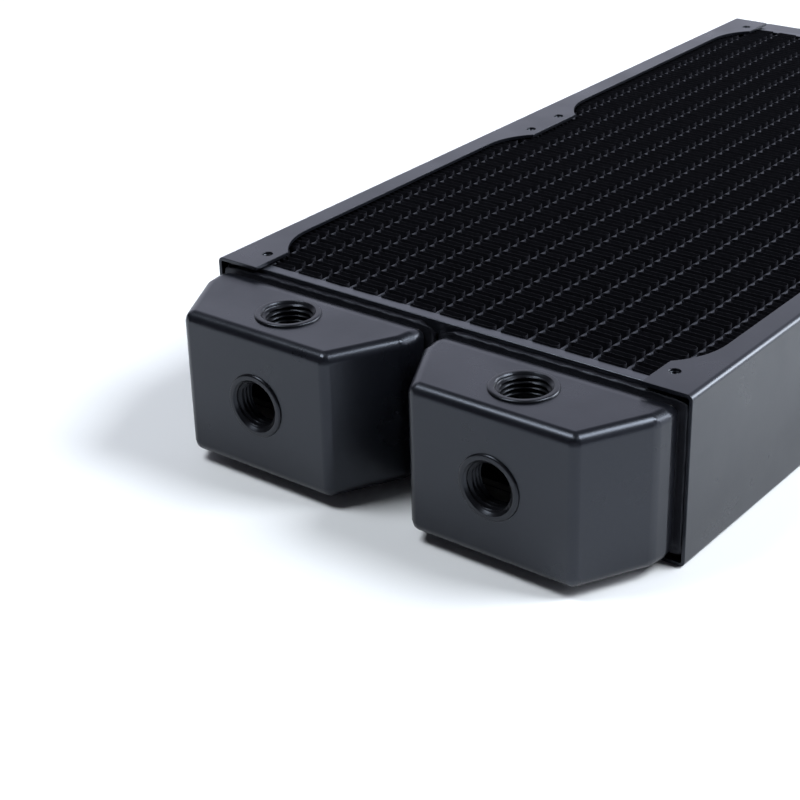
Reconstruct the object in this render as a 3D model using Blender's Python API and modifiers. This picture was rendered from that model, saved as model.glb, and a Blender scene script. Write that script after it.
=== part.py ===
"""Liquid cooling radiator for two 140 mm fans, built as separate soldered pieces.

Frame: origin under the middle of the whole radiator, on the plane of its lower
fan flanges. +X runs across the width, +Y from the port end to the closed end,
and +Z through the thickness. Everything is in metres.
"""
import math

import bmesh
import bpy
from mathutils import Matrix, Vector

# ---- driving dimensions -------------------------------------------------
FAN_SIZE = 0.140             # pitch from one fan to the next
FAN_HOLE_PITCH = 0.1245      # screw spacing of one fan, both ways
FAN_COUNT = 2
HOLE_INSET = 0.00875         # end of a side channel to its first screw row
WIDTH = 0.144
THICKNESS = 0.045
SHEET = 0.001                # side channel sheet
GAP = 0.0003                 # solder gap left between neighbouring pieces

# side channels
BEND_RADIUS = 0.0015
NARROW_FLANGE_X = 0.065      # inner edge of the flange beside a fan opening
PAD_INNER_X = 0.0586         # inner edge of the flange at the screw pads
PAD_PAST_HOLE = 0.00425      # straight pad edge beyond a screw row
SCALLOP_RADIUS = 0.0215
SCALLOP_CLEARANCE = 0.003    # how far the cut reaches past the pad edge
SCREW_BORE_RADIUS = 0.00125
SCREW_MOUTH_RADIUS = 0.00175
SCREW_MOUTH_DEPTH = 0.0005
COLLAR_RADIUS = 0.002
COLLAR_DEPTH = 0.0009

# header plates
HEADER_SETBACK = 0.0026      # shroud end to the header's face
HEADER_SHEET = 0.0006
HEADER_FLANGE = 0.0032
HEADER_BEND = 0.0008

# core
TUBE_COUNT = 14
TUBE_PITCH = 0.00925
TUBE_THICKNESS = 0.002
TUBE_WALL = 0.0004
TUBE_NECK_LOW = 0.005        # lower edge of the narrowed tube end
FIN_FOIL = 0.0003
FIN_WALL_PITCH = 0.0062      # coarser than the real foil, to keep the solids light
OUTER_FIN_CLEARANCE = 0.0025

# tanks
TANK_HEIGHT = 0.0398
TANK_WALL = 0.001
TANK_EDGE = 0.0035
TANK_CENTRE_X = 0.03575
TANK_HALF_WIDTH = 0.0333
TANK_NOSE_HALF_WIDTH = 0.023
TANK_REACH = 0.0275          # tank nose beyond the shroud end
TANK_SHOULDER = 0.0088       # start of the slanted cheeks beyond the shroud end
REAR_HALF_WIDTH = 0.068
REAR_NOSE_HALF_WIDTH = 0.064
REAR_REACH = 0.0107
REAR_SHOULDER = 0.0015
FOOT_THICKNESS = 0.0012
FOOT_OVERHANG = 0.0014
FOOT_CORNER = 0.0035

# port bushes, G1/4
PORT_RING_RADIUS = 0.0085
PORT_RING_RISE = 0.001
PORT_NECK_RADIUS = 0.0074
PORT_BORE_RADIUS = 0.0059
PORT_MOUTH_RADIUS = 0.0069
PORT_DEPTH = 0.0065
PORT_BEVEL = 0.0002
TOP_PORT_REACH = 0.0135      # side ports' axis beyond the shroud end

# ---- worked out from the driving dimensions -----------------------------
SHROUD_LENGTH = (FAN_COUNT - 1) * FAN_SIZE + FAN_HOLE_PITCH + 2 * HOLE_INSET
TOTAL_LENGTH = SHROUD_LENGTH + TANK_REACH + REAR_REACH + 2 * PORT_RING_RISE
FRONT = -TOTAL_LENGTH / 2 + TANK_REACH + PORT_RING_RISE
REAR = FRONT + SHROUD_LENGTH
MID_Y = (FRONT + REAR) / 2
MID_Z = THICKNESS / 2
INSIDE_X = WIDTH / 2 - SHEET - GAP
INSIDE_LOW = SHEET + GAP
INSIDE_HIGH = THICKNESS - SHEET - GAP
HEADER_FACE = FRONT + HEADER_SETBACK
HEADER_BACK = HEADER_FACE + HEADER_SHEET
HEADER_END = HEADER_FACE + HEADER_FLANGE
FOOT_BACK = HEADER_FACE - GAP
TANK_LOW = MID_Z - TANK_HEIGHT / 2
TANK_HIGH = MID_Z + TANK_HEIGHT / 2

ARC_STEPS = 6
ROUND_STEPS = 24
HOLE_STEPS = 12

# a flat outline drawn in X and Y is stood up so that it lies in X and Z ...
FACING_Y = Matrix.Rotation(math.pi / 2, 4, "X")
# ... or in Y and Z
FACING_X = Matrix(((0, 0, 1, 0), (1, 0, 0, 0), (0, 1, 0, 0), (0, 0, 0, 1)))


def clear_scene():
    for obj in list(bpy.data.objects):
        bpy.data.objects.remove(obj, do_unlink=True)


def new_collection(name):
    collection = bpy.data.collections.new(name)
    bpy.context.scene.collection.children.link(collection)
    return collection


def painted(name, colour, roughness, metallic):
    material = bpy.data.materials.new(name)
    material.use_nodes = True
    shader = material.node_tree.nodes["Principled BSDF"]
    shader.inputs["Base Color"].default_value = (*colour, 1.0)
    shader.inputs["Roughness"].default_value = roughness
    shader.inputs["Metallic"].default_value = metallic
    return material


def new_object(name, mesh, collection, matrix=None, material=None):
    obj = bpy.data.objects.new(name, mesh)
    collection.objects.link(obj)
    if matrix is not None:
        obj.matrix_world = matrix
    if material is not None and not mesh.materials:
        mesh.materials.append(material)
    if collection is cutters:
        obj.hide_render = True
        obj.display_type = "WIRE"
    return obj


def evaluated_mesh(obj):
    """The mesh of a curve or of an object with modifiers, its doubled points welded."""
    bpy.context.view_layer.update()
    mesh = bpy.data.meshes.new_from_object(obj.evaluated_get(bpy.context.evaluated_depsgraph_get()))
    shape = bmesh.new()
    shape.from_mesh(mesh)
    bmesh.ops.remove_doubles(shape, verts=shape.verts, dist=1e-6)
    bmesh.ops.dissolve_limit(shape, angle_limit=math.radians(1), verts=shape.verts, edges=shape.edges)
    shape.to_mesh(mesh)
    shape.free()
    return mesh


def outline_mesh(name, loops, depth, closed=True):
    """A flat outline, or an open ribbon, drawn in X and Y and extruded along Z."""
    curve = bpy.data.curves.new(name, "CURVE")
    curve.dimensions = "2D" if closed else "3D"
    curve.fill_mode = "BOTH" if closed else "FULL"
    curve.extrude = depth / 2
    for loop in loops:
        spline = curve.splines.new("POLY")
        spline.points.add(len(loop) - 1)
        for point, (x, y) in zip(spline.points, loop):
            point.co = (x, y, 0, 1)
        spline.use_cyclic_u = closed
    holder = bpy.data.objects.new(name, curve)
    cutters.objects.link(holder)
    mesh = evaluated_mesh(holder)
    bpy.data.objects.remove(holder, do_unlink=True)
    return mesh


def box_mesh(name, low, high):
    centre = (Vector(low) + Vector(high)) / 2
    size = Vector(high) - Vector(low)
    shape = bmesh.new()
    bmesh.ops.create_cube(shape, size=1, matrix=Matrix.Translation(centre) @ Matrix.Diagonal((*size, 1)))
    mesh = bpy.data.meshes.new(name)
    shape.to_mesh(mesh)
    shape.free()
    return mesh


def round_mesh(name, low_radius, high_radius, depth, places, steps):
    """One disc, bar or cone frustum at each place, along the place's own Z."""
    shape = bmesh.new()
    for place in places:
        bmesh.ops.create_cone(shape, cap_ends=True, segments=steps, radius1=low_radius,
                              radius2=high_radius, depth=depth, matrix=place)
    mesh = bpy.data.meshes.new(name)
    shape.to_mesh(mesh)
    shape.free()
    return mesh


def add_boolean(obj, cutter, operation="DIFFERENCE", solver="EXACT"):
    modifier = obj.modifiers.new(operation.lower(), "BOOLEAN")
    modifier.object = cutter
    modifier.operation = operation
    modifier.solver = solver


def add_bevel(obj, width, segments):
    modifier = obj.modifiers.new("rounded_edges", "BEVEL")
    modifier.width = width
    modifier.segments = segments
    modifier.limit_method = "ANGLE"
    modifier.angle_limit = math.radians(20)


def add_solidify(obj, thickness, offset):
    modifier = obj.modifiers.new("sheet", "SOLIDIFY")
    modifier.thickness = thickness
    modifier.offset = offset
    modifier.use_even_offset = True


def arc(centre, radius, start, end, steps=ARC_STEPS):
    """Points of an arc from the start angle to the end angle, in degrees."""
    angles = [math.radians(start + (end - start) * step / steps) for step in range(steps + 1)]
    return [(centre[0] + radius * math.cos(a), centre[1] + radius * math.sin(a)) for a in angles]


def rounded_rectangle(half_x, low_y, high_y, radius):
    corners = (
        ((half_x - radius, low_y + radius), -90),
        ((half_x - radius, high_y - radius), 0),
        ((-half_x + radius, high_y - radius), 90),
        ((-half_x + radius, low_y + radius), 180),
    )
    return [point for centre, start in corners for point in arc(centre, radius, start, start + 90, 4)]


def u_section(web, flange, low, high, sheet, radius):
    """A U of bent sheet: the web at x = 0, its flanges reaching to x = -flange."""
    inner = radius - sheet
    outside = [(-flange, low)] + arc((-radius, low + radius), radius, -90, 0, 3)
    outside += arc((-radius, high - radius), radius, 0, 90, 3) + [(-flange, high)]
    inside = [(-flange, high - sheet)] + arc((-radius, high - radius), inner, 90, 0, 3)
    inside += arc((-radius, low + radius), inner, 0, -90, 3) + [(-flange, low + sheet)]
    return [(web + x, y) for x, y in outside + inside]


def fan_centres():
    first = FRONT + HOLE_INSET + FAN_HOLE_PITCH / 2
    return [first + FAN_SIZE * index for index in range(FAN_COUNT)]


def screw_places():
    """Each screw hole's place on the upper and on the lower flange, pointing outwards."""
    places = []
    for centre in fan_centres():
        for y in (centre - FAN_HOLE_PITCH / 2, centre + FAN_HOLE_PITCH / 2):
            places.append(Matrix.Translation((FAN_HOLE_PITCH / 2, y, THICKNESS)))
            places.append(Matrix.Translation((FAN_HOLE_PITCH / 2, y, 0)) @ Matrix.Rotation(math.pi, 4, "X"))
    return places


def screw_tools():
    """The collars under the screw holes, then their bores and countersunk mouths.

    Each is a frustum between two heights above the flange's face, at every screw hole."""
    collar_end = -SHEET - COLLAR_DEPTH
    wide_radius = 2 * SCREW_MOUTH_RADIUS - SCREW_BORE_RADIUS
    frustums = (
        ("collars", "UNION", -SHEET / 2, COLLAR_RADIUS, collar_end, COLLAR_RADIUS),
        ("bores", "DIFFERENCE", SHEET, SCREW_BORE_RADIUS, 2 * collar_end, SCREW_BORE_RADIUS),
        ("mouths", "DIFFERENCE", SCREW_MOUTH_DEPTH, wide_radius, -SCREW_MOUTH_DEPTH, SCREW_BORE_RADIUS),
    )
    tools = []
    for kind, operation, top, top_radius, bottom, bottom_radius in frustums:
        middle = Matrix.Translation((0, 0, (top + bottom) / 2))
        places = [place @ middle for place in screw_places()]
        mesh = round_mesh(kind, bottom_radius, top_radius, top - bottom, places, HOLE_STEPS)
        tools.append((kind, operation, mesh))
    return tools


def scallop_outline(centre):
    """The flange's cut-away beside one fan: a straight run between two arcs."""
    across = NARROW_FLANGE_X - SCALLOP_RADIUS
    swing = math.degrees(math.acos((PAD_INNER_X - across) / SCALLOP_RADIUS))
    end = FAN_HOLE_PITCH / 2 - PAD_PAST_HOLE
    run = end - SCALLOP_RADIUS * math.sin(math.radians(swing))
    clear_x = PAD_INNER_X - SCALLOP_CLEARANCE
    near = [(clear_x, -end)] + arc((across, -run), SCALLOP_RADIUS, -swing, 0, 8)
    far = arc((across, run), SCALLOP_RADIUS, 0, swing, 8) + [(clear_x, end)]
    return [(x, centre + y) for x, y in near + far]


def make_side_channels():
    """Two bent side sheets, each with threaded collars under its screw pads."""
    flange = WIDTH / 2 - PAD_INNER_X
    section = u_section(0, flange, 0, THICKNESS, SHEET, BEND_RADIUS)
    scallops = [scallop_outline(centre) for centre in fan_centres()]
    for side, name in ((-1, "side_channel_left"), (1, "side_channel_right")):
        turn = Matrix.Identity(4) if side > 0 else Matrix.Rotation(math.pi, 4, "Z")
        turn = Matrix.Translation((0, MID_Y, 0)) @ turn @ Matrix.Translation((0, -MID_Y, 0))
        sheet = outline_mesh(name, [section], SHROUD_LENGTH)
        channel = new_object(name, sheet, parts,
                             turn @ Matrix.Translation((WIDTH / 2, MID_Y, 0)) @ FACING_Y, shell_paint)
        opening = new_object(name + "_scallops", outline_mesh(name + "_scallops", scallops, 3 * THICKNESS),
                             cutters, turn)
        add_boolean(channel, opening)
        for kind, operation, mesh in screw_tools():
            tool = new_object(f"{name}_{kind}", mesh, cutters, turn)
            add_boolean(channel, tool, operation)


def tube_places():
    first = -(TUBE_COUNT - 1) / 2 * TUBE_PITCH
    return [first + TUBE_PITCH * index for index in range(TUBE_COUNT)]


def make_headers():
    """The plate at each end of the core, its flanges folded back over the tube ends."""
    section = u_section(0, HEADER_FLANGE, INSIDE_LOW, INSIDE_HIGH, HEADER_SHEET, HEADER_BEND)
    section = [(-x, z) for x, z in section]
    slot_half = TUBE_THICKNESS / 2 + GAP
    slots = []
    for x in tube_places():
        shape = box_mesh("slot", (x - slot_half, -HEADER_FLANGE, TUBE_NECK_LOW - GAP),
                         (x + slot_half, HEADER_SHEET * 2, THICKNESS - TUBE_NECK_LOW + GAP))
        slots.append(shape)
    slot_mesh = joined_mesh("header_slots", slots)
    ends = (("front_header", HEADER_FACE, Matrix.Identity(4)),
            ("rear_header", REAR - HEADER_SETBACK, Matrix.Rotation(math.pi, 4, "Z")))
    for name, face, turn in ends:
        place = Matrix.Translation((0, face, 0)) @ turn
        sheet = outline_mesh(name, [section], 2 * INSIDE_X)
        header = new_object(name, sheet, parts, place @ FACING_X, core_paint)
        add_boolean(header, new_object(name + "_slots", slot_mesh.copy(), cutters, place))


def joined_mesh(name, meshes):
    shape = bmesh.new()
    for mesh in meshes:
        shape.from_mesh(mesh)
        bpy.data.meshes.remove(mesh)
    mesh = bpy.data.meshes.new(name)
    shape.to_mesh(mesh)
    shape.free()
    return mesh


def make_tubes():
    """Flat water tubes, narrowed where they pass through the header slots."""
    body_start = HEADER_BACK + GAP - MID_Y
    neck_start = HEADER_FACE - MID_Y
    body_low = INSIDE_LOW + HEADER_SHEET + GAP
    quarter = [(neck_start, TUBE_NECK_LOW), (body_start, TUBE_NECK_LOW), (body_start, body_low)]
    lower = quarter + [(-y, z) for y, z in reversed(quarter)]
    outline = lower + [(y, THICKNESS - z) for y, z in reversed(lower)]
    mesh = outline_mesh("tube", [outline], TUBE_THICKNESS)
    water_half = TUBE_THICKNESS / 2 - TUBE_WALL
    water_low = TUBE_NECK_LOW + TUBE_WALL
    water = box_mesh("tube_water_way", (-water_half, 2 * neck_start, water_low),
                     (water_half, -2 * neck_start, THICKNESS - water_low))
    for index, x in enumerate(tube_places(), start=1):
        place = Matrix.Translation((x, MID_Y, 0))
        tube = new_object(f"tube_{index:02d}", mesh, parts, place @ FACING_X, core_paint)
        way = new_object(f"tube_water_way_{index:02d}", water, cutters, place)
        add_boolean(tube, way, solver="MANIFOLD")


def fin_ribbon(name, half_width, low, high):
    """A folded foil strip: walls slanting from one side of the stack to the other."""
    start = HEADER_END + GAP + FIN_FOIL
    length = 2 * (MID_Y - start)
    count = int(length / FIN_WALL_PITCH)
    reach = half_width - FIN_FOIL
    points = [(reach * (-1) ** step, (step - count / 2) * FIN_WALL_PITCH) for step in range(count + 1)]
    return outline_mesh(name, [points], high - low, closed=False)


def make_fins():
    """A folded fin strip between each pair of tubes, and one outside each outermost tube."""
    tubes = tube_places()
    half_width = (TUBE_PITCH - TUBE_THICKNESS) / 2 - GAP
    outer_low = tubes[-1] + TUBE_THICKNESS / 2 + GAP
    outer_half = (INSIDE_X - outer_low) / 2
    outer_centre = outer_low + outer_half
    inner = fin_ribbon("fin", half_width, INSIDE_LOW, INSIDE_HIGH)
    outer = fin_ribbon("fin_outer", outer_half, OUTER_FIN_CLEARANCE, THICKNESS - OUTER_FIN_CLEARANCE)
    centres = [-outer_centre] + [x + TUBE_PITCH / 2 for x in tubes[:-1]] + [outer_centre]
    for index, x in enumerate(centres, start=1):
        ribbon = outer if index in (1, len(centres)) else inner
        place = Matrix.Translation((x, MID_Y, MID_Z))
        fin = new_object(f"fin_{index:02d}", ribbon, parts, place, fin_paint)
        add_solidify(fin, FIN_FOIL, 0)


def tank_shell(name, half_width, nose_half_width, shoulder, nose, place):
    """A pressed tank: a hollow six-sided box, open at the back.

    shoulder and nose are distances in front of the header face."""
    back = GAP + FOOT_THICKNESS / 4
    outline = [(-half_width, -back), (-half_width, -shoulder), (-nose_half_width, -nose),
               (nose_half_width, -nose), (half_width, -shoulder), (half_width, -back)]
    mesh = outline_mesh(name, [outline], TANK_HEIGHT)
    open_back(mesh, -back)
    tank = new_object(name, mesh, parts, place @ Matrix.Translation((0, 0, MID_Z)), shell_paint)
    add_bevel(tank, TANK_EDGE, 3)
    add_solidify(tank, TANK_WALL, -1)
    return tank


def add_foot(tank, half_width, place):
    """The flat rim around the open back, which is soldered to the header."""
    outer = rounded_rectangle(half_width + FOOT_OVERHANG, TANK_LOW - FOOT_OVERHANG,
                              TANK_HIGH + FOOT_OVERHANG, FOOT_CORNER)
    inset = TANK_WALL / 2
    inner = rounded_rectangle(half_width - inset, TANK_LOW + inset, TANK_HIGH - inset, FOOT_CORNER - inset)
    foot_mesh = outline_mesh(tank.name + "_foot", [outer, inner], FOOT_THICKNESS)
    middle = Matrix.Translation((0, -GAP - FOOT_THICKNESS / 2, 0))
    foot = new_object(tank.name + "_foot", foot_mesh, cutters, place @ middle @ FACING_Y)
    add_boolean(tank, foot, "UNION")


def open_back(mesh, back):
    """Removes the face of an extruded outline that lies at Y = back."""
    shape = bmesh.new()
    shape.from_mesh(mesh)
    faces = [face for face in shape.faces if all(abs(v.co.y - back) < 1e-6 for v in face.verts)]
    bmesh.ops.delete(shape, geom=faces, context="FACES")
    bmesh.ops.recalc_face_normals(shape, faces=shape.faces)
    shape.to_mesh(mesh)
    shape.free()


def bush_mesh():
    """The turned bush of one port: a raised ring, a neck and a chamfered bore."""
    outer = [(PORT_RING_RADIUS - PORT_BEVEL, PORT_RING_RISE), (PORT_RING_RADIUS, PORT_RING_RISE - PORT_BEVEL),
             (PORT_RING_RADIUS, GAP), (PORT_NECK_RADIUS, GAP), (PORT_NECK_RADIUS, -PORT_DEPTH)]
    inner = [(PORT_BORE_RADIUS, -PORT_DEPTH), (PORT_BORE_RADIUS, 0), (PORT_MOUTH_RADIUS, PORT_RING_RISE)]
    profile = bpy.data.meshes.new("port_bush_profile")
    points = [(radius, 0, height) for radius, height in outer + inner]
    edges = [(index, (index + 1) % len(points)) for index in range(len(points))]
    profile.from_pydata(points, edges, [])
    holder = new_object("port_bush_profile", profile, cutters)
    screw = holder.modifiers.new("turned", "SCREW")
    screw.steps = ROUND_STEPS
    screw.render_steps = ROUND_STEPS
    screw.use_merge_vertices = True
    screw.merge_threshold = 0.00001
    mesh = evaluated_mesh(holder)
    bpy.data.objects.remove(holder, do_unlink=True)
    mesh.shade_smooth()
    mesh.set_sharp_from_angle(angle=math.radians(40))
    return mesh


def seat_ports(tank, ports):
    """Seats a bush in a round hole through the tank wall at each port.

    ports pairs each bush's name with its place, whose Z points out of the port."""
    mesh = bush_mesh()
    for name, place in ports.items():
        new_object(name, mesh, parts, place, port_paint)
    holes = round_mesh(tank.name + "_seats", PORT_NECK_RADIUS + GAP, PORT_NECK_RADIUS + GAP,
                       2 * PORT_DEPTH, ports.values(), ROUND_STEPS)
    add_boolean(tank, new_object(tank.name + "_seats", holes, cutters))


def make_tanks():
    """The two port tanks side by side, and the return tank at the far end."""
    for side, hand in ((-1, "left"), (1, "right")):
        x = side * TANK_CENTRE_X
        place = Matrix.Translation((x, HEADER_FACE, 0))
        tank = tank_shell("tank_" + hand, TANK_HALF_WIDTH, TANK_NOSE_HALF_WIDTH,
                          TANK_SHOULDER + HEADER_SETBACK, TANK_REACH + HEADER_SETBACK, place)
        side_y = FRONT - TOP_PORT_REACH
        nose = Matrix.Translation((x, FRONT - TANK_REACH, MID_Z))
        seat_ports(tank, {
            f"port_bush_{hand}_front": nose @ Matrix.Rotation(math.pi / 2, 4, "X"),
            f"port_bush_{hand}_top": Matrix.Translation((x, side_y, TANK_HIGH)),
            f"port_bush_{hand}_bottom": (Matrix.Translation((x, side_y, TANK_LOW))
                                         @ Matrix.Rotation(math.pi, 4, "X")),
        })
        add_foot(tank, TANK_HALF_WIDTH, place)
    turned = Matrix.Translation((0, REAR - HEADER_SETBACK, 0)) @ Matrix.Rotation(math.pi, 4, "Z")
    rear = tank_shell("tank_rear", REAR_HALF_WIDTH, REAR_NOSE_HALF_WIDTH,
                      REAR_SHOULDER + HEADER_SETBACK, REAR_REACH + HEADER_SETBACK, turned)
    tail = Matrix.Translation((0, REAR + REAR_REACH, MID_Z)) @ Matrix.Rotation(-math.pi / 2, 4, "X")
    seat_ports(rear, {"port_bush_rear": tail})
    add_foot(rear, REAR_HALF_WIDTH, turned)


clear_scene()
parts = new_collection("liquid_cooling_radiator")
cutters = new_collection("cutters")
shell_paint = painted("black_shell_paint", (0.035, 0.036, 0.042), 0.35, 0.0)
core_paint = painted("black_core_paint", (0.045, 0.046, 0.050), 0.45, 0.0)
fin_paint = painted("black_fin_paint", (0.018, 0.018, 0.021), 0.5, 0.0)
port_paint = painted("black_port_paint", (0.030, 0.030, 0.034), 0.3, 0.0)
make_side_channels()
make_headers()
make_tubes()
make_fins()
make_tanks()
bpy.context.view_layer.update()
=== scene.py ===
"""The looks of the liquid cooling radiator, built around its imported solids.

Everything is in metres, in the solids' own frame: +X across the width, +Y from
the port end to the closed end, +Z through the thickness, the floor just under Z = 0.
"""

import math

import bmesh
import bpy
import numpy as np
from mathutils import Matrix, Vector


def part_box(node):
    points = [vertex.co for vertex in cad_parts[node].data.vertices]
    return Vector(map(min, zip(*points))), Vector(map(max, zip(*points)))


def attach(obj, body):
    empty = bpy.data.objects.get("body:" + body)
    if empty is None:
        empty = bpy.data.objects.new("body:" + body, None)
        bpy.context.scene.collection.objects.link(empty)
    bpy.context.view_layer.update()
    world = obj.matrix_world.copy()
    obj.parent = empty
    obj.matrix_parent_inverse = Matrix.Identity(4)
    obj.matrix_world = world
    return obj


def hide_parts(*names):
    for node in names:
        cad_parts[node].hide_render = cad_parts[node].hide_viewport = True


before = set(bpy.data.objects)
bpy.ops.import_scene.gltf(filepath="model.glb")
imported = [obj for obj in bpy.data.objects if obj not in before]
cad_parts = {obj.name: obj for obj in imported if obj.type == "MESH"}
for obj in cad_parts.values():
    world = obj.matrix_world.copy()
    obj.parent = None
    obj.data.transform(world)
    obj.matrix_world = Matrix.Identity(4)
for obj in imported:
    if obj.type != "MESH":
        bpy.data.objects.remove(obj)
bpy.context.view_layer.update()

# ---- sizes read from the solids -----------------------------------------
CHANNEL_LOW, CHANNEL_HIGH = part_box("side_channel_right")
HEADER_LOW, HEADER_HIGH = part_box("front_header")
TUBE_LOW, TUBE_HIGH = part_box("tube_01")
FRONT = CHANNEL_LOW.y
REAR = CHANNEL_HIGH.y
MID_Y = (FRONT + REAR) / 2
HALF_WIDTH = CHANNEL_HIGH.x
THICKNESS = CHANNEL_HIGH.z
MID_Z = THICKNESS / 2
HEADER_FACE = HEADER_LOW.y
HEADER_END = HEADER_HIGH.y
INSIDE_X = HEADER_HIGH.x
INSIDE_LOW = HEADER_LOW.z
INSIDE_HIGH = HEADER_HIGH.z
PAD_INNER_X = CHANNEL_LOW.x
NOSE_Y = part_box("tank_left")[0].y
TUBE_SLIMMING = 0.0001
TUBE_HALF = (TUBE_HIGH.x - TUBE_LOW.x) / 2 - TUBE_SLIMMING
TUBE_PLACES = sorted(
    sum(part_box(name), Vector()).x / 2 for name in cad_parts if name.startswith("tube_")
)
FIN_COUNT = sum(name.startswith("fin_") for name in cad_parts)

# ---- side channels
SHEET = 0.001
BEND_RADIUS = 0.0015
NARROW_FLANGE_X = 0.065
FAN_SIZE = 0.140
FAN_HOLE_PITCH = 0.1245
HOLE_INSET = 0.00875
PAD_PAST_HOLE = 0.00425
SCALLOP_RADIUS = 0.0215
SCALLOP_CLEARANCE = 0.003
CUT_EDGE_BEVEL = 0.00015

# ---- screw holes in the side channels, depths below the flange's outer face
COLLAR_RADIUS = 0.002
COLLAR_TIP_RADIUS = 0.00195
COLLAR_START = 0.0006
COLLAR_END = 0.0019
SCREW_MOUTH_RADIUS = 0.00155
SCREW_LIP_RADIUS = 0.00152
SCREW_NECK_RADIUS = 0.00145
SCREW_ROOT_RADIUS = 0.00148
SCREW_CREST_RADIUS = 0.00128
SCREW_BORE_RADIUS = 0.00125
SCREW_ABOVE = 0.0004
SCREW_LIP_DEPTH = 0.0001
SCREW_NECK_START = 0.0002
SCREW_NECK_END = 0.0006
SCREW_GROOVES_START = 0.0008
SCREW_GROOVES_END = 0.0021
SCREW_GROOVE_PITCH = 0.0004
SCREW_BORE_START = 0.0022
SCREW_DEPTH = 0.003
SCREW_STEPS = 24

# ---- headers and core
HEADER_SHEET = 0.0006
HEADER_BEND = 0.0003
TUBE_TOP = 0.0432
FIN_TOP = 0.0441
FIN_LAP = 0.00025
FOIL = 0.00006
FIN_WALL_PITCH = 0.002075
FIN_WALL_DRIFT = 0.00005
FIN_EDGE_DRIFT = 0.00003
FIN_COLLAR_RADIUS = 0.0032
FIN_COLLAR_DEPTH = 0.0023
FIN_FLANGE_MARGIN = 0.0003
FIN_FLANGE_GAP = 0.00008
FIN_END_GAP = 0.00015
TUBE_END_GAP = 0.00003

# ---- tanks, angles in degrees
TANK_HEIGHT = 0.0398
TANK_EDGE = 0.0030
TANK_WALL = 0.001
TANK_WALL_EXTRA = 0.0003
TANK_CAVITY_GAP = 0.00002
TANK_SHORTEST_BEVEL = 0.45
TANK_LONG_EDGE = 0.01
TANK_LONG_EDGE_CUTS = 40
TANK_DRIFT = 0.00002
TANK_CENTRE_X = 0.03575
TANK_HALF_WIDTH = 0.0335
TANK_SHOULDER_HALF_WIDTH = 0.0328
TANK_NOSE_HALF_WIDTH = 0.023
TANK_SHOULDER = 0.0114
TANK_TURN_START = 0.0072
TANK_TURN_LEAD = 0.0004
TANK_TURN_ROWS = 12
TANK_TURN_ANGLES = (7, 90)
TANK_TURN_IN_SIDE = 0.0011
TANK_TURN_IN_TOP = 0.0015
TANK_GROOVE = 0.0027
FOOT_FRONT = 0.0022
FOOT_EDGE = 0.0006
FOOT_SIDE = 0.0015
FOOT_TOP = 0.0004
FOOT_SLOPE = 0.0003
FOOT_LEAD = 0.0002
FOOT_GAP = 0.0001
FOOT_DRIFT = 0.00018
FOOT_ANGLE = 120
FOOT_RINGS = 8
FOOT_SQUARENESS = 5
REAR_TANK_SHRINK = 0.45
REAR_HALF_WIDTH = 0.068
REAR_NOSE_HALF_WIDTH = 0.064

# ---- ports
THREAD_PITCH = 0.001337
THREAD_MAJOR = 0.00658
THREAD_MINOR = 0.00572
THREAD_CREST = 1.15
THREAD_STEEPNESS = 2.5
THREAD_ROWS_PER_TURN = 8
THREAD_END_GAP = 0.0002
THREAD_SHADE_DEPTH = 0.0002
THREAD_SHADE_MARGIN = 0.0001
PORT_NECK_RADIUS = 0.0074
PORT_RING_RADIUS = 0.0085
PORT_RING_RISE = 0.0006
PORT_RING_EDGE = 0.00055
PORT_LIP_RADIUS = 0.00695
PORT_LIP_EDGE = 0.0002
PORT_MOUTH_DEPTH = 0.0004
THREAD_FADE = 0.0009
PORT_DEPTH = 0.0048
PORT_NECK_CHAMFER = 0.0003
PORT_FLARE_START = 0.0006
PORT_FLARE_END = 0.0003
PORT_STEPS = 64
PORT_HOLE_ABOVE = 0.002
PORT_HOLE_BELOW = 0.004

# ---- solder
SOLDER_RADIUS = 0.00055
SOLDER_LUMPS = 0.35
SOLDER_SWAY = 0.00012
SOLDER_INSET = 0.0001
SOLDER_STEP = 0.0009
SOLDER_LOW_GAP = 0.0015
SOLDER_HIGH_GAP = 0.0012
SOLDER_SIDES = 8
SOLDER_TAPER = 0.3

# ---- paint, texture scales in cells for each metre
GLOSS_SCALE = 60
GRAIN_SCALE = 900
ORANGE_PEEL_SCALE = 1400
ORANGE_PEEL_HEIGHT = 0.00004
GLOSS_BELOW = 0.04
GLOSS_ABOVE = 0.05
SPECULAR_TINT = (0.80, 0.86, 1.0)

# ---- stage, lights and camera, the camera's angles in degrees and its lens in millimetres
FLOOR_HALF = 6.0
FLOOR_GAP = 0.0001
LIGHT_COLOUR = (0.89, 0.945, 1.0)
CAMERA_AZIMUTH = 38.70
CAMERA_ELEVATION = 26.89
CAMERA_ROLL = -1.67
CAMERA_PLACE = (0.24686, -0.45504, 0.22925)
CAMERA_LENS = 82.08
CAMERA_SENSOR = 36


# ---- mesh helpers --------------------------------------------------------
def mesh_from(name, points, faces):
    """A mesh from its points and the point numbers of its faces."""
    mesh = bpy.data.meshes.new(name)
    mesh.from_pydata([tuple(point) for point in points], [], [tuple(face) for face in faces])
    mesh.update()
    return mesh


def link(name, mesh, matrix=None):
    """An object in the scene that holds the mesh, at its place."""
    obj = bpy.data.objects.new(name, mesh)
    bpy.context.scene.collection.objects.link(obj)
    if matrix is not None:
        obj.matrix_world = matrix
    return obj


def finished(obj):
    """Applies the object's modifiers and its place, so that its mesh is final."""
    bpy.context.view_layer.update()
    evaluated = obj.evaluated_get(bpy.context.evaluated_depsgraph_get())
    mesh = bpy.data.meshes.new_from_object(evaluated)
    mesh.transform(obj.matrix_world)
    old = obj.data
    obj.modifiers.clear()
    obj.data = mesh
    obj.matrix_world = Matrix.Identity(4)
    bpy.data.meshes.remove(old)
    mesh.name = obj.name
    return obj


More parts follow.
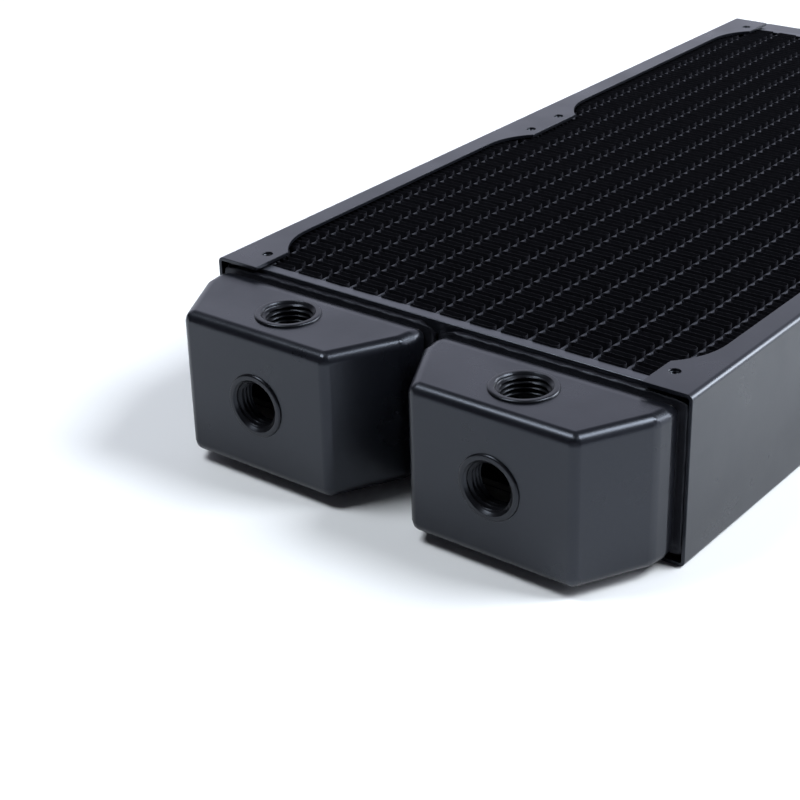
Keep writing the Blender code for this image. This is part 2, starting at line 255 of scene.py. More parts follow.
def smooth(obj, angle):
    """Smooth shading, but sharp where the faces meet at more than the angle in degrees."""
    obj.data.shade_smooth()
    obj.data.set_sharp_from_angle(angle=math.radians(angle))
    return obj


def even_normals(obj):
    """Lets the large faces decide the shading, so that they look flat beside their round edges."""
    modifier = obj.modifiers.new("even_normals", "WEIGHTED_NORMAL")
    modifier.keep_sharp = True


def cut(obj, operation, name, meshes_and_places):
    """Adds or removes several meshes, each at its place, in one step."""
    tool = link(name, joined(name, meshes_and_places))
    modifier = obj.modifiers.new(name, "BOOLEAN")
    modifier.object = tool
    modifier.operation = operation
    modifier.solver = "EXACT"
    finished(obj)
    mesh = tool.data
    bpy.data.objects.remove(tool, do_unlink=True)
    bpy.data.meshes.remove(mesh)


def add_bevel(obj, width, segments, angle):
    """Rounds the edges whose faces meet at more than the angle in degrees."""
    modifier = obj.modifiers.new("rounded", "BEVEL")
    modifier.width = width
    modifier.segments = segments
    modifier.limit_method = "ANGLE"
    modifier.angle_limit = math.radians(angle)


def edit(mesh, change):
    """Runs change on the mesh as a bmesh and writes it back."""
    shape = bmesh.new()
    shape.from_mesh(mesh)
    change(shape)
    shape.to_mesh(mesh)
    shape.free()
    mesh.update()
    return mesh


def joined(name, meshes_and_places):
    """One mesh that holds a copy of each mesh at its place."""
    shape = bmesh.new()
    for mesh, place in meshes_and_places:
        copy = mesh.copy()
        copy.transform(place)
        shape.from_mesh(copy)
        bpy.data.meshes.remove(copy)
    mesh = bpy.data.meshes.new(name)
    shape.to_mesh(mesh)
    shape.free()
    return mesh


def show(obj, material, slot, *replaced):
    """Gives a piece its material, the body it rides on and the solids it stands for. The slot argument is
    not used.
    """
    obj.data.materials.clear()
    obj.data.materials.append(material)
    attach(obj, "root")
    if replaced:
        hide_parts(*replaced)


def arc(centre, radius, start, end, steps):
    """The points of an arc, its angles in degrees."""
    angles = np.radians(np.linspace(start, end, steps + 1))
    return [(centre[0] + radius * math.cos(a), centre[1] + radius * math.sin(a)) for a in angles]


def prism(name, outline, low, high):
    """An outline in X and Y, drawn counterclockwise, extruded from low to high in Z."""
    count = len(outline)
    points = [(x, y, z) for z in (low, high) for x, y in outline]
    sides = [(i, (i + 1) % count, count + (i + 1) % count, count + i) for i in range(count)]
    caps = [tuple(reversed(range(count))), tuple(range(count, 2 * count))]
    return mesh_from(name, points, sides + caps)


def turned(name, profile, steps):
    """A profile of radius and height, from the axis down its outer side and back to the axis."""
    rows = len(profile)
    angles = np.arange(steps) * 2 * math.pi / steps
    points = [(r * math.cos(a), r * math.sin(a), z) for a in angles for r, z in profile]
    faces = []
    for step in range(steps):
        here = step * rows
        after = (step + 1) % steps * rows
        faces += [(here + row, here + row + 1, after + row + 1, after + row) for row in range(rows - 1)]
    mesh = mesh_from(name, points, faces)
    return edit(mesh, lambda shape: bmesh.ops.remove_doubles(shape, verts=shape.verts, dist=1e-7))


# ---- materials -----------------------------------------------------------
def paint(name, colour, roughness, orange_peel, dust, specular):
    """A coat of paint: uneven gloss, a fine orange-peel skin and a little dust in the grain."""
    material = bpy.data.materials.new(name)
    material.use_nodes = True
    nodes = material.node_tree.nodes
    links = material.node_tree.links
    shader = nodes["Principled BSDF"]
    shader.inputs["Specular IOR Level"].default_value = specular
    shader.inputs["Specular Tint"].default_value = (*SPECULAR_TINT, 1)
    place = nodes.new("ShaderNodeTexCoord")

    def field(scale, detail):
        texture = nodes.new("ShaderNodeTexNoise")
        texture.inputs["Scale"].default_value = scale
        texture.inputs["Detail"].default_value = detail
        links.new(place.outputs["Object"], texture.inputs["Vector"])
        return texture.outputs["Fac"]

    def spread(value, low, high):
        remap = nodes.new("ShaderNodeMapRange")
        remap.inputs["From Min"].default_value = 0.3
        remap.inputs["From Max"].default_value = 0.7
        remap.inputs["To Min"].default_value = low
        remap.inputs["To Max"].default_value = high
        links.new(value, remap.inputs["Value"])
        return remap.outputs["Result"]

    gloss = spread(field(GLOSS_SCALE, 4), roughness - GLOSS_BELOW, roughness + GLOSS_ABOVE)
    links.new(gloss, shader.inputs["Roughness"])
    tint = nodes.new("ShaderNodeMix")
    tint.data_type = "RGBA"
    tint.inputs["A"].default_value = (*colour, 1)
    tint.inputs["B"].default_value = (*[c * (1 + dust) for c in colour], 1)
    links.new(spread(field(GRAIN_SCALE, 2), 0, 1), tint.inputs["Factor"])
    links.new(tint.outputs["Result"], shader.inputs["Base Color"])
    bump = nodes.new("ShaderNodeBump")
    bump.inputs["Strength"].default_value = orange_peel
    bump.inputs["Distance"].default_value = ORANGE_PEEL_HEIGHT
    links.new(field(ORANGE_PEEL_SCALE, 2), bump.inputs["Height"])
    links.new(bump.outputs["Normal"], shader.inputs["Normal"])
    return material


# ---- side channels -------------------------------------------------------
def channel_section(flange):
    """The bent sheet's U, counterclockwise, its web's outer face at the side of the radiator."""
    outer, inner = BEND_RADIUS, BEND_RADIUS - SHEET
    web = HALF_WIDTH - outer
    low, high = outer, THICKNESS - outer
    outside = [(HALF_WIDTH - flange, 0)] + arc((web, low), outer, -90, 0, 8)
    outside += arc((web, high), outer, 0, 90, 8) + [(HALF_WIDTH - flange, THICKNESS)]
    inside = [(HALF_WIDTH - flange, THICKNESS - SHEET)] + arc((web, high), inner, 90, 0, 8)
    inside += arc((web, low), inner, 0, -90, 8) + [(HALF_WIDTH - flange, SHEET)]
    return outside + inside


def fan_centres():
    """The places of the fans along the radiator, the first one at the port end."""
    first = FRONT + HOLE_INSET + FAN_HOLE_PITCH / 2
    count = round((REAR - FRONT) / FAN_SIZE)
    return [first + FAN_SIZE * index for index in range(count)]


def scallop(centre):
    """The cut-away beside one fan: a straight run between two arcs, counterclockwise."""
    across = NARROW_FLANGE_X - SCALLOP_RADIUS
    swing = math.degrees(math.acos((PAD_INNER_X - across) / SCALLOP_RADIUS))
    end = FAN_HOLE_PITCH / 2 - PAD_PAST_HOLE
    run = end - SCALLOP_RADIUS * math.sin(math.radians(swing))
    clear_x = PAD_INNER_X - SCALLOP_CLEARANCE
    near = [(clear_x, -end)] + arc((across, -run), SCALLOP_RADIUS, -swing, 0, 20)
    far = arc((across, run), SCALLOP_RADIUS, 0, swing, 20) + [(clear_x, end)]
    return [(x, centre + y) for x, y in near + far]


def screw_cutter():
    """What a screw hole takes away: a rounded mouth, then turned grooves in place of an M3 thread."""
    profile = [(0, SCREW_ABOVE), (SCREW_MOUTH_RADIUS, SCREW_ABOVE), (SCREW_LIP_RADIUS, -SCREW_LIP_DEPTH)]
    profile += [(SCREW_NECK_RADIUS, -SCREW_NECK_START), (SCREW_NECK_RADIUS, -SCREW_NECK_END)]
    for height in np.arange(-SCREW_GROOVES_START, -SCREW_GROOVES_END, -SCREW_GROOVE_PITCH):
        profile += [(SCREW_CREST_RADIUS, height), (SCREW_ROOT_RADIUS, height - SCREW_GROOVE_PITCH / 2)]
    profile += [(SCREW_BORE_RADIUS, -SCREW_BORE_START), (SCREW_BORE_RADIUS, -SCREW_DEPTH), (0, -SCREW_DEPTH)]
    return turned("screw_cutter", profile, SCREW_STEPS)


def screw_collar():
    """The collar under a flange that gives a screw hole its depth."""
    profile = [(0, -COLLAR_START), (COLLAR_RADIUS, -COLLAR_START)]
    profile += [(COLLAR_TIP_RADIUS, -COLLAR_END), (0, -COLLAR_END)]
    return turned("collar", profile, SCREW_STEPS)


def side_channel():
    """One bent side sheet with its scalloped flanges, collars and screw holes, for the right side."""
    section = channel_section(HALF_WIDTH - PAD_INNER_X)
    stand = Matrix.Translation((0, REAR, 0)) @ Matrix.Rotation(math.pi / 2, 4, "X")
    sheet = link("side_channel", prism("side_channel", section, 0, REAR - FRONT), stand)
    still = Matrix.Identity(4)
    scallops = [prism("scallop", scallop(centre), -THICKNESS, 2 * THICKNESS) for centre in fan_centres()]
    cut(sheet, "DIFFERENCE", "scallops", [(mesh, still) for mesh in scallops])
    add_bevel(sheet, CUT_EDGE_BEVEL, 2, 50)
    finished(sheet)
    over = Matrix.Rotation(math.pi, 4, "X")
    places = []
    for centre in fan_centres():
        for y in (centre - FAN_HOLE_PITCH / 2, centre + FAN_HOLE_PITCH / 2):
            places.append(Matrix.Translation((FAN_HOLE_PITCH / 2, y, THICKNESS)))
            places.append(Matrix.Translation((FAN_HOLE_PITCH / 2, y, 0)) @ over)
    collar = screw_collar()
    cutter = screw_cutter()
    cut(sheet, "UNION", "collars", [(collar, place) for place in places])
    cut(sheet, "DIFFERENCE", "screws", [(cutter, place) for place in places])
    return sheet


def make_side_channels(material):
    """The right channel, and the left one as the same sheet turned half a turn."""
    right = side_channel()
    left = link("side_channel_left_sheet", right.data.copy())
    left.data.transform(Matrix.Translation((0, 2 * MID_Y, 0)) @ Matrix.Rotation(math.pi, 4, "Z"))
    right.name = "side_channel_right_sheet"
    for obj, node in ((right, "side_channel_right"), (left, "side_channel_left")):
        even_normals(smooth(obj, 30))
        show(obj, material, "shell_paint", node)


# ---- headers -------------------------------------------------------------
def make_headers(material):
    """The folded plate over the tube ends at each end of the core."""
    outer = HEADER_BEND
    face, end = HEADER_FACE, HEADER_END
    low, high = INSIDE_LOW, INSIDE_HIGH
    outside = [(end, high)] + arc((face + outer, high - outer), outer, 90, 180, 8)
    outside += arc((face + outer, low + outer), outer, 180, 270, 8) + [(end, low)]
    inside = [(end, low + HEADER_SHEET), (face + HEADER_SHEET, low + HEADER_SHEET)]
    inside += [(face + HEADER_SHEET, high - HEADER_SHEET), (end, high - HEADER_SHEET)]
    turn = Matrix(((0, 0, 1, 0), (1, 0, 0, 0), (0, 1, 0, 0), (0, 0, 0, 1)))
    for node in ("front_header", "rear_header"):
        header = link(node + "_plate", prism(node, outside + inside, -INSIDE_X, INSIDE_X), turn)
        add_bevel(header, CUT_EDGE_BEVEL, 2, 50)
        finished(header)
        if node == "rear_header":
            header.data.transform(Matrix.Translation((0, 2 * MID_Y, 0)) @ Matrix.Rotation(math.pi, 4, "Z"))
        even_normals(smooth(header, 30))
        show(header, material, "core_paint", node)


# ---- core ----------------------------------------------------------------
def make_tubes(material):
    """Flat tubes with round edges, from header to header."""
    high = TUBE_TOP - TUBE_HALF
    low = THICKNESS - high
    outline = arc((0, high), TUBE_HALF, 0, 180, 10) + arc((0, low), TUBE_HALF, 180, 360, 10)
    stand = Matrix.Rotation(math.pi / 2, 4, "X")
    start = HEADER_END + TUBE_END_GAP
    for index, x in enumerate(TUBE_PLACES):
        node = f"tube_{index + 1:02d}"
        mesh = prism(node, outline, start - 2 * MID_Y, -start)
        tube = finished(link(node + "_flat", mesh, Matrix.Translation((x, 0, 0)) @ stand))
        smooth(tube, 40)
        show(tube, material, "core_paint", node)


def folded_strip(half_width, start, count, rng):
    """The strip's centre line: walls straight across, joined by round folds at alternate ends."""
    radius = FIN_WALL_PITCH / 2
    reach = half_width - radius - FOIL / 2
    line = []
    for wall in range(count):
        side = 1 if wall % 2 == 0 else -1
        near, far = rng.normal(0, FIN_WALL_DRIFT, 2)
        y = start + wall * FIN_WALL_PITCH
        line.append((-side * reach, y + near))
        line.append((side * reach, y + far))
        if wall < count - 1:
            for x, dy in arc((0, 0), radius, -90, 90, 6)[1:-1]:
                line.append((side * (reach + x), y + radius + dy))
    return np.array(line)


def flange_edge(y):
    """The X of the side flange's inner edge beside a place along the radiator."""
    off = min(abs(y - centre) for centre in fan_centres())
    end = FAN_HOLE_PITCH / 2 - PAD_PAST_HOLE
    across = NARROW_FLANGE_X - SCALLOP_RADIUS
    run = end - math.sqrt(SCALLOP_RADIUS ** 2 - (PAD_INNER_X - across) ** 2)
    if off >= end:
        return PAD_INNER_X
    if off <= run:
        return NARROW_FLANGE_X
    return across + math.sqrt(SCALLOP_RADIUS ** 2 - (off - run) ** 2)


def fin_top(x, y):
    """The foil's height: proud of the tubes, but pressed down under the flanges and the screw collars."""
    screw = abs(min(abs(y - centre) for centre in fan_centres()) - FAN_HOLE_PITCH / 2)
    if math.hypot(abs(x) - FAN_HOLE_PITCH / 2, screw) < FIN_COLLAR_RADIUS:
        return THICKNESS - FIN_COLLAR_DEPTH
    if abs(x) > flange_edge(y) - FIN_FLANGE_MARGIN:
        return THICKNESS - SHEET - FIN_FLANGE_GAP
    return FIN_TOP


def foil_mesh(name, line, rng):
    """A foil standing on edge along the line, FOIL thick."""
    along = np.gradient(line, axis=0)
    along /= np.linalg.norm(along, axis=1)[:, None]
    side = np.stack([-along[:, 1], along[:, 0]], 1) * FOIL / 2
    count = len(line)
    uneven = rng.normal(0, FIN_EDGE_DRIFT, (2, count))
    high = np.array([fin_top(x, y) for x, y in line]) - np.abs(uneven[1])
    low = THICKNESS - high + np.abs(uneven[0])
    corners = [(line + side, low), (line + side, high), (line - side, high), (line - side, low)]
    points = np.concatenate([np.column_stack([xy, z]) for xy, z in corners])
    faces = []
    for first in range(4):
        second = (first + 1) % 4
        a = first * count + np.arange(count - 1)
        b = second * count + np.arange(count - 1)
        faces.append(np.stack([a, a + 1, b + 1, b], 1))
    ends = [[0, count, 2 * count, 3 * count], [4 * count - 1, 3 * count - 1, 2 * count - 1, count - 1]]
    mesh = mesh_from(name, points, np.concatenate(faces + [np.array(ends)]))
    return edit(mesh, lambda shape: bmesh.ops.recalc_face_normals(shape, faces=shape.faces))


def make_fins(material):
    """Folded foil between the tubes. Its folds run into the tubes' sides by FIN_LAP."""
    start = HEADER_END + FIN_END_GAP
    count = int(2 * (MID_Y - start) / FIN_WALL_PITCH) + 1
    first = MID_Y - (count - 1) * FIN_WALL_PITCH / 2
    left_edges = [-INSIDE_X] + [x + TUBE_HALF - FIN_LAP for x in TUBE_PLACES]
    right_edges = [x - TUBE_HALF + FIN_LAP for x in TUBE_PLACES] + [INSIDE_X]
    for index in range(FIN_COUNT):
        node = f"fin_{index + 1:02d}"
        rng = np.random.default_rng(index)
        half_width = (right_edges[index] - left_edges[index]) / 2
        line = folded_strip(half_width, first, count, rng)
        line[:, 0] += left_edges[index] + half_width
        fin = link(node + "_foil", foil_mesh(node, line, rng))
        smooth(fin, 40)
        show(fin, material, "fin_paint", node)


# ---- tanks ---------------------------------------------------------------
def weigh_edges(skin):
    """Gives the shallow corners of a tank a shorter bevel, so that its edges look equally round."""
    skin.modifiers["rounded"].limit_method = "WEIGHT"

    def weigh(shape):
        layer = shape.edges.layers.float.new("bevel_weight_edge")
        for edge in shape.edges:
            if len(edge.link_faces) == 2:
                turn = edge.calc_face_angle()
                edge[layer] = max(TANK_SHORTEST_BEVEL, min(1, math.tan(turn / 2)))

    edit(skin.data, weigh)


def tank_skin(outline, half_height, edge):
    """A pressed skin with an open back: the outline extruded, its edges rounded."""
    back = max(y for _, y in outline)

    def open_back(shape):
        rear = [face for face in shape.faces if all(vert.co.y > back - 1e-7 for vert in face.verts)]
        bmesh.ops.delete(shape, geom=rear, context="FACES")

    mesh = edit(prism("skin", outline, -half_height, half_height), open_back)
    skin = link("skin", mesh)
    add_bevel(skin, edge, segments=10, angle=15)
    weigh_edges(skin)
    finished(skin)
    mesh = skin.data
    bpy.data.objects.remove(skin, do_unlink=True)
    return mesh


def hexagon(half_widths, start, shoulder, nose):
    """The tank's plan, counterclockwise from its rear left corner.

    half_widths are those at the back, at the shoulder and at the nose. A shoulder that lies
    behind the start is left out.
    """
    at_back, at_shoulder, at_nose = half_widths
    right = [(at_nose, -nose), (at_shoulder, -shoulder), (at_back, -start)]
    if shoulder <= start:
        right = [(at_nose, -nose), (at_back, -start)]
    left = [(-x, y) for x, y in reversed(right)]
    return left + right


def edge_ring(shape):
    """The edges around the openings of a shape."""
    return [edge for edge in shape.edges if edge.is_boundary]


def tank_back(shrink=1):
    """The skin's rear edge as sideways offset, upward offset and distance in front of the header.

    The skin turns in to a groove, and behind the groove stands the rim of the foot.
    """
    rows = []
    for angle in np.radians(np.linspace(*TANK_TURN_ANGLES, TANK_TURN_ROWS)):
        turned_in = 1 - math.cos(angle)
        back = TANK_TURN_START - (TANK_TURN_START - TANK_GROOVE) * math.sin(angle)
        rows.append((-TANK_TURN_IN_SIDE * turned_in, -TANK_TURN_IN_TOP * turned_in, back))
    for share, lead in ((0.9, FOOT_LEAD), (0.5, 0)):
        rows.append((-TANK_TURN_IN_SIDE * share, -TANK_TURN_IN_TOP * share, FOOT_FRONT + lead))
    for angle in np.radians(np.linspace(0, FOOT_ANGLE, FOOT_RINGS - 1)):
        short = FOOT_EDGE * (1 - math.sin(angle))
        rows.append((FOOT_SIDE - short, FOOT_TOP - short, FOOT_FRONT - FOOT_EDGE * (1 - math.cos(angle))))
    rows.append((FOOT_SIDE - FOOT_SLOPE, FOOT_TOP - FOOT_SLOPE, FOOT_GAP))
    return [(sideways, upwards, back * shrink) for sideways, upwards, back in rows]


def wander(x, z, step):
    """A smooth unevenness from -1 to 1 along a pressed or soldered edge."""
    along = 900 * x + 700 * z + 1.7 * (step // 3)
    return 0.5 * math.sin(along) + 0.3 * math.sin(2.3 * along + 1) + 0.2 * math.sin(4.1 * along + 2)


def corner_direction(x, z, squareness):
    """The direction (x, z), scaled to end on a rounded square of half-size 1.

    Squareness 2 makes it a circle, and a higher one makes its corners sharper.
    """
    size = (abs(x) ** squareness + abs(z) ** squareness) ** (1 / squareness)
    return Vector((x, 0, z)) / size


def tank_mesh(half_widths, shoulder, nose, back_profile):
    """A hollow tank shell: rounded skin, groove and foot outside, and a smooth wall inside."""
    half_height = TANK_HEIGHT / 2
    start = back_profile[0][2] + TANK_TURN_LEAD
    outside = tank_skin(hexagon(half_widths, start, shoulder, nose), half_height, TANK_EDGE)
    slim = TANK_WALL + TANK_WALL_EXTRA
    slim_widths = [width - slim for width in half_widths]
    slim_plan = hexagon(slim_widths, TANK_CAVITY_GAP, shoulder, nose - TANK_WALL)
    inside = tank_skin(slim_plan, half_height - slim, TANK_EDGE - slim)
    shape = bmesh.new()
    shape.from_mesh(outside)
    ring = edge_ring(shape)
    core_x, core_z = half_widths[0] - TANK_EDGE, half_height - TANK_EDGE
    long_edges = [edge for edge in ring if edge.calc_length() > TANK_LONG_EDGE]
    bmesh.ops.subdivide_edges(shape, edges=long_edges, cuts=TANK_LONG_EDGE_CUTS)
    ring = edge_ring(shape)
    for step, (sideways, upwards, back) in enumerate(back_profile):
        in_foot = step >= len(back_profile) - FOOT_RINGS
        uneven = FOOT_DRIFT if in_foot else TANK_DRIFT
        squareness = FOOT_SQUARENESS if in_foot else 2
        made = bmesh.ops.extrude_edge_only(shape, edges=ring)["geom"]
        verts = {item for item in made if isinstance(item, bmesh.types.BMVert)}
        ring = [item for item in made if isinstance(item, bmesh.types.BMEdge) and set(item.verts) <= verts]
        for vert in verts:
            x = max(-core_x, min(core_x, vert.co.x))
            z = max(-core_z, min(core_z, vert.co.z))
            away = corner_direction(vert.co.x - x, vert.co.z - z, squareness)
            drift = uneven * wander(vert.co.x, vert.co.z, step)
            away.x *= TANK_EDGE + sideways + drift
            away.z *= TANK_EDGE + upwards + drift
            vert.co = Vector((x, -back, z)) + away
    shape.from_mesh(inside)
    bmesh.ops.bridge_loops(shape, edges=edge_ring(shape))
    bmesh.ops.recalc_face_normals(shape, faces=shape.faces)
    mesh = bpy.data.meshes.new("tank")
    shape.to_mesh(mesh)
    shape.free()
    return mesh


def thread_phase(turns):
    """0 at the thread's root and 1 at its crest, for a place counted in turns."""
    share = turns - math.floor(turns)
    return min(1, max(0, THREAD_CREST - THREAD_STEEPNESS * abs(share - 0.5)))


def port_mesh():
    """A bush whose ring stands PORT_RING_RISE proud of Z = 0, with a helical thread down its bore."""
    steps = PORT_STEPS
    rise = PORT_RING_RISE
    chamfer = PORT_NECK_CHAMFER
    outside = [(PORT_NECK_RADIUS - chamfer, -PORT_DEPTH), (PORT_NECK_RADIUS, -PORT_DEPTH + chamfer)]
    outside += [(PORT_NECK_RADIUS, -PORT_FLARE_START), (PORT_RING_RADIUS, -PORT_FLARE_END)]
    outside += arc((PORT_RING_RADIUS - PORT_RING_EDGE, rise - PORT_RING_EDGE), PORT_RING_EDGE, 0, 90, 8)
    lip = PORT_LIP_EDGE
    outside += arc((PORT_LIP_RADIUS + lip, rise - lip), lip, 90, 160, 4)
    thread_start = rise - PORT_MOUTH_DEPTH
    depths = np.arange(thread_start, -PORT_DEPTH + THREAD_END_GAP, -THREAD_PITCH / THREAD_ROWS_PER_TURN)
    rows = [[(r, z)] * steps for r, z in outside]
    for z in depths:
        fade = min(1, (thread_start - z) / THREAD_FADE)
        row = []
        for step in range(steps):
            crest = thread_phase(z / THREAD_PITCH + step / steps)
            row.append((THREAD_MAJOR - fade * crest * (THREAD_MAJOR - THREAD_MINOR), z))
        rows.append(row)
    rows.append([(THREAD_MINOR, -PORT_DEPTH)] * steps)
    points = []
    for row in rows:
        for step, (radius, z) in enumerate(row):
            angle = 2 * math.pi * step / steps
            points.append((radius * math.cos(angle), radius * math.sin(angle), z))
    faces = []
    count = len(rows)
    for index in range(count):
        here = index * steps
        below = (index + 1) % count * steps
        for step in range(steps):
            after = (step + 1) % steps
            faces.append((here + step, here + after, below + after, below + step))
    return mesh_from("port", points, faces)


def darken_thread(mesh, place):
    """Gives the faces of the thread, below the bush's mouth, the second material."""
    back = place.inverted()
    for face in mesh.polygons:
        x, y, z = back @ face.center
        if z < -THREAD_SHADE_DEPTH and math.hypot(x, y) < THREAD_MAJOR + THREAD_SHADE_MARGIN:
            face.material_index = 1


def coat_tank(mesh, place, groove):
    """Second material: the foot, back from the groove's bottom. Third: the paler cavity."""
    back = place.inverted()
    centres = [back @ face.center for face in mesh.polygons]
    nose = -min(centre.y for centre in centres)
    for face, centre in zip(mesh.polygons, centres):
        if centre.y > -groove:
            face.material_index = 1
        elif faces_cavity(back.to_3x3() @ face.normal, centre, nose):
            face.material_index = 2


def faces_cavity(normal, centre, nose):
    """Whether a tank's face looks inwards, judged along the axis that it mostly faces."""
    middle = Vector((0, -nose / 2, 0))
    axis = max(range(3), key=lambda index: abs(normal[index]))
    return normal[axis] * (centre[axis] - middle[axis]) < 0


def facing(x, y, z, direction):
    """A place whose +Z points along direction."""
    return Matrix.Translation((x, y, z)) @ Vector(direction).to_track_quat("Z", "Y").to_matrix().to_4x4()


def port_hole():
    """What a port's hole takes away from a tank, with the tank's face at Z = 0."""
    outer_side = [(PORT_NECK_RADIUS, PORT_HOLE_ABOVE), (PORT_NECK_RADIUS, -PORT_HOLE_BELOW)]
    profile = [(0, PORT_HOLE_ABOVE)] + outer_side + [(0, -PORT_HOLE_BELOW)]
    return turned("hole", profile, PORT_STEPS)


def make_tank(node, mesh, place, ports, paints, shrink=1):
    """One tank with a round hole for each port, and the bushes in the holes."""
    tank = link(node + "_shell", mesh, place)
    finished(tank)
    hole = port_hole()
    cut(tank, "DIFFERENCE", "holes", [(hole, port) for port in ports.values()])
    even_normals(smooth(tank, 28))
    show(tank, paints["shell"], "shell_paint", node)
    tank.data.materials.append(paints["seam"])
    tank.data.materials.append(paints["inside"])
    coat_tank(tank.data, place, TANK_GROOVE * shrink)
    for name, port in ports.items():
        bush = finished(link(name + "_thread", port_mesh(), port))
        smooth(bush, 50)
        show(bush, paints["port"], "port_paint", name)
        bush.data.materials.append(paints["thread"])
        darken_thread(bush.data, port)


def make_tanks(paints):
    """The two port tanks on the front header and the shallow return tank on the rear one."""
    nose = HEADER_FACE - NOSE_Y
    widths = (TANK_HALF_WIDTH, TANK_SHOULDER_HALF_WIDTH, TANK_NOSE_HALF_WIDTH)
    front = tank_mesh(widths, TANK_SHOULDER, nose, tank_back())
    side_y = sum(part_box("port_bush_left_top"), Vector()).y / 2
    for hand, x in (("left", -TANK_CENTRE_X), ("right", TANK_CENTRE_X)):
        stem = f"port_bush_{hand}_"
        ports = {
            stem + "front": facing(x, NOSE_Y, MID_Z, (0, -1, 0)),
            stem + "top": facing(x, side_y, MID_Z + TANK_HEIGHT / 2, (0, 0, 1)),
            stem + "bottom": facing(x, side_y, MID_Z - TANK_HEIGHT / 2, (0, 0, -1)),
        }
        place = Matrix.Translation((x, HEADER_FACE, MID_Z))
        make_tank("tank_" + hand, front.copy(), place, ports, paints)
    rear_face = 2 * MID_Y - HEADER_FACE
    widths = (REAR_HALF_WIDTH, REAR_HALF_WIDTH, REAR_NOSE_HALF_WIDTH)
    rear = tank_mesh(widths, 0, -NOSE_Y - rear_face, tank_back(REAR_TANK_SHRINK))
    place = Matrix.Translation((0, rear_face, MID_Z)) @ Matrix.Rotation(math.pi, 4, "Z")
    ports = {"port_bush_rear": facing(0, -NOSE_Y, MID_Z, (0, 1, 0))}
    make_tank("tank_rear", rear, place, ports, paints, REAR_TANK_SHRINK)


# ---- solder and seams ----------------------------------------------------
def bead_mesh(path, radius, lumps, rng):
    """A run of set solder along a path: round, with soft lumps and thin ends."""
    sides = SOLDER_SIDES
    count = len(path)
    path = np.array(path, float)
    along = np.gradient(path, axis=0)
    along /= np.linalg.norm(along, axis=1)[:, None]
    wave = np.convolve(rng.normal(0, 1, count + 8), np.ones(5) / 5, "same")[4:-4]
    thick = radius * (1 + lumps * wave)
    thick[0] *= SOLDER_TAPER
    thick[-1] *= SOLDER_TAPER
    points = []
    for centre, direction, size in zip(path, along, thick):
        first = np.cross(direction, (0.3, 0.5, 0.8))
        first /= np.linalg.norm(first)
        second = np.cross(direction, first)
        for a in np.arange(sides) * 2 * math.pi / sides:
            points.append(centre + size * (math.cos(a) * first + math.sin(a) * second))
    faces = []
    for ring in range(count - 1):
        for side in range(sides):
            after = (side + 1) % sides
            here, there = ring * sides, (ring + 1) * sides
            faces.append((here + side, here + after, there + after, there + side))
    faces += [tuple(range(sides)), tuple(range((count - 1) * sides, count * sides))]
    mesh = mesh_from("bead", points, faces)
    return edit(mesh, lambda shape: bmesh.ops.recalc_face_normals(shape, faces=shape.faces))


def make_seams(material):
    """Solder in the corners between the headers and the side channels."""
    rng = np.random.default_rng(7)
    inset = SOLDER_INSET
    for end, y in (("front", HEADER_FACE - inset), ("rear", 2 * MID_Y - HEADER_FACE + inset)):
        for hand, x in (("left", -INSIDE_X + inset), ("right", INSIDE_X - inset)):
            heights = np.arange(INSIDE_LOW + SOLDER_LOW_GAP, INSIDE_HIGH - SOLDER_HIGH_GAP, SOLDER_STEP)
            draws = rng.normal(0, SOLDER_SWAY, len(heights) + 4)
            sway = np.convolve(draws, np.ones(3) / 3, "same")[2:-2]
            path = [(x + drift, y, z) for drift, z in zip(sway, heights)]
            bead = link(f"solder_{end}_{hand}", bead_mesh(path, SOLDER_RADIUS, SOLDER_LUMPS, rng))
            smooth(bead, 60)
            show(bead, material, "core_paint")


# ---- stage ---------------------------------------------------------------
def flat_material(name, colour, roughness):
    """A plain material, for the stage only."""
    material = bpy.data.materials.new(name)
    material.use_nodes = True
    shader = material.node_tree.nodes["Principled BSDF"]
    shader.inputs["Base Color"].default_value = (*colour, 1)
    shader.inputs["Roughness"].default_value = roughness
    return material


def make_stage():
    """A pale floor just under the radiator."""
    size = FLOOR_HALF
    points = [(-size, -size, 0), (size, -size, 0), (size, size, 0), (-size, size, 0)]
    floor = link("floor", mesh_from("floor", points, [(0, 1, 2, 3)]))
    floor.data.materials.append(flat_material("floor_pale", (0.9, 0.9, 0.9), 0.9))
    floor.location.z = -FLOOR_GAP


def make_world():
    """A pale sweep behind the object that darkens upwards and towards the camera's side."""
    world = bpy.data.worlds.new("studio")
    bpy.context.scene.world = world
    world.use_nodes = True
    nodes = world.node_tree.nodes
    links = world.node_tree.links
    direction = nodes.new("ShaderNodeTexCoord")
    parts = nodes.new("ShaderNodeSeparateXYZ")
    links.new(direction.outputs["Generated"], parts.inputs["Vector"])

    def ramp(axis, start, end, low, high):
        remap = nodes.new("ShaderNodeMapRange")
        remap.interpolation_type = "SMOOTHSTEP"
        remap.inputs["From Min"].default_value = start
        remap.inputs["From Max"].default_value = end
        remap.inputs["To Min"].default_value = low
        remap.inputs["To Max"].default_value = high
        links.new(parts.outputs[axis], remap.inputs["Value"])
        return remap.outputs["Result"]

    both = nodes.new("ShaderNodeMath")
    both.operation = "MULTIPLY"
    links.new(ramp("Y", -0.1, 0.5, 0.06, 1.0), both.inputs[0])
    links.new(ramp("Z", 0.50, 0.72, 1.0, 0.04), both.inputs[1])
    background = nodes["Background"]
    background.inputs["Color"].default_value = (1.0, 1.03, 1.22, 1)
    links.new(both.outputs["Value"], background.inputs["Strength"])


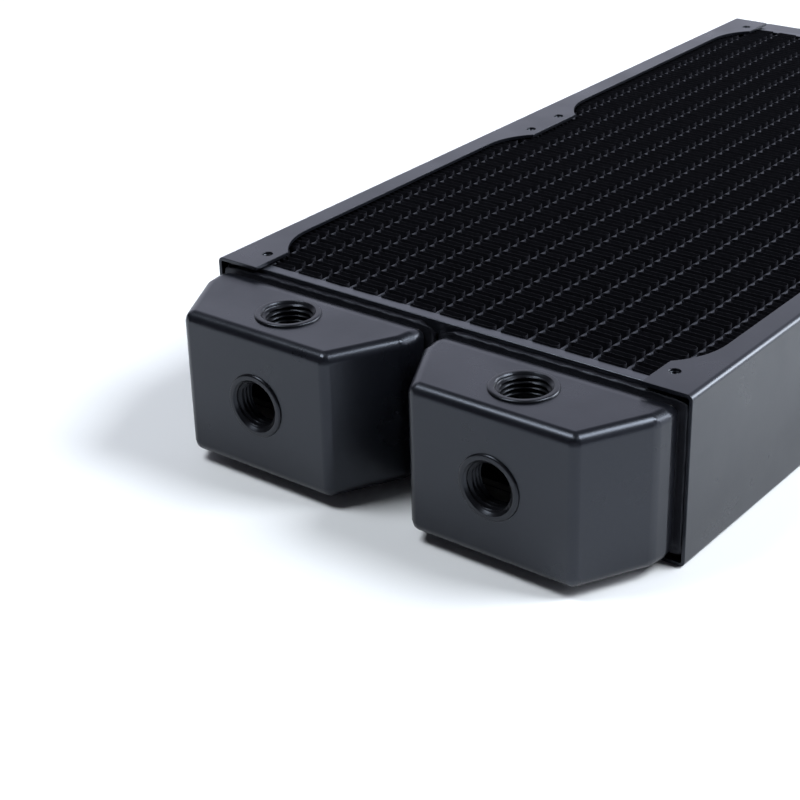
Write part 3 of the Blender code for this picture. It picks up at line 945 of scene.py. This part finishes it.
def soft_light(name, place, target, size, power):
    """A slightly blue area light that shines from its place towards the target."""
    light = bpy.data.lights.new(name, "AREA")
    light.shape = "RECTANGLE"
    light.size, light.size_y = size
    light.energy = power
    light.color = LIGHT_COLOUR
    obj = bpy.data.objects.new(name, light)
    bpy.context.scene.collection.objects.link(obj)
    obj.location = place
    away = Vector(place) - Vector(target)
    obj.rotation_euler = away.to_track_quat("Z", "Y").to_euler()


def make_lights():
    """Three soft lights around the radiator."""
    centre = (0, 0, MID_Z)
    soft_light("front_left", (-0.36, -0.40, 1.0), centre, (0.34, 0.40), 8)
    soft_light("right", (0.75, 0.27, 1.04), centre, (0.5, 0.5), 16.5)
    soft_light("rear_right", (0.9, 1.1, 0.5), centre, (0.8, 0.6), 22)


def make_camera():
    """The camera looks down at the port end from the front right, tilted a little by its roll."""
    azimuth = math.radians(CAMERA_AZIMUTH)
    elevation = math.radians(CAMERA_ELEVATION)
    roll = math.radians(CAMERA_ROLL)
    camera = bpy.data.cameras.new("camera")
    camera.lens = CAMERA_LENS
    camera.sensor_width = CAMERA_SENSOR
    camera.clip_start = 0.01
    camera.clip_end = 50
    obj = bpy.data.objects.new("camera", camera)
    bpy.context.scene.collection.objects.link(obj)
    flat = math.cos(elevation)
    back = Vector((math.sin(azimuth) * flat, -math.cos(azimuth) * flat, math.sin(elevation)))
    right = (-back).cross(Vector((0, 0, 1))).normalized()
    up = right.cross(-back)
    across = right * math.cos(roll) + up * math.sin(roll)
    above = -right * math.sin(roll) + up * math.cos(roll)
    turn = Matrix((across, above, back)).transposed().to_4x4()
    obj.matrix_world = Matrix.Translation(CAMERA_PLACE) @ turn
    bpy.context.scene.camera = obj


# ---- build ---------------------------------------------------------------
paints = {
    "shell": paint("shell_paint_satin", (0.0035, 0.0038, 0.0055), 0.30, 0.12, 0.35, 0.45),
    "core": paint("core_paint_satin", (0.0045, 0.0048, 0.0065), 0.32, 0.2, 0.35, 0.9),
    "fin": paint("fin_paint_matt", (0.0095, 0.0093, 0.012), 0.7, 0.2, 0.5, 0.12),
    "port": paint("port_paint_satin", (0.004, 0.004, 0.005), 0.3, 0.1, 0.3, 0.35),
    "seam": paint("seam_paint_rough", (0.006, 0.006, 0.008), 0.4, 0.5, 0.5, 0.22),
    "inside": paint("bare_inside", (0.40, 0.39, 0.38), 0.6, 0.3, 0.1, 0.3),
    "thread": paint("thread_dark", (0.004, 0.004, 0.005), 0.3, 0.1, 0.3, 0.2),
}

make_side_channels(paints["shell"])
make_headers(paints["core"])
make_tubes(paints["core"])
make_fins(paints["fin"])
make_tanks(paints)
make_seams(paints["core"])
make_stage()
make_world()
make_lights()
make_camera()
bpy.context.scene.view_settings.view_transform = "Standard"
